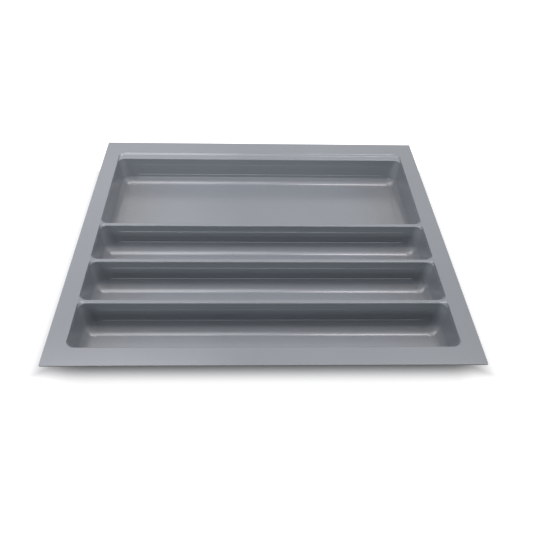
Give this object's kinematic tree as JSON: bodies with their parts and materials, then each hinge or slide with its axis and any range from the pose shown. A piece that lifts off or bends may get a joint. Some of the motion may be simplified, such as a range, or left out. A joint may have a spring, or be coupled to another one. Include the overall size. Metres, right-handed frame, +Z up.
{
  "type": "cutlery tray",
  "caption": "Grey plastic drawer tray for cutlery: a flat flange round a shallow recess, with a wide and narrower open compartments whose walls are drafted and terraced.",
  "frame": {"origin": "centre of the tray's outline, on the surface that the compartments' undersides stand on", "axes": "+X along the compartments, +Y towards the wide compartment at the back, +Z up out of the compartments"},
  "size_m": [0.49, 0.44, 0.0435],
  "materials": {
    "formed_sheet": "semi-gloss, fine mould grain"
  },
  "bodies": {
    "root": {"rim_flange": "formed_sheet", "divider_front": "formed_sheet", "divider_middle": "formed_sheet", "divider_back": "formed_sheet", "narrow_compartment_front": "formed_sheet", "narrow_compartment_middle": "formed_sheet", "narrow_compartment_back": "formed_sheet", "wide_compartment": "formed_sheet"}
  },
  "joints": []
}
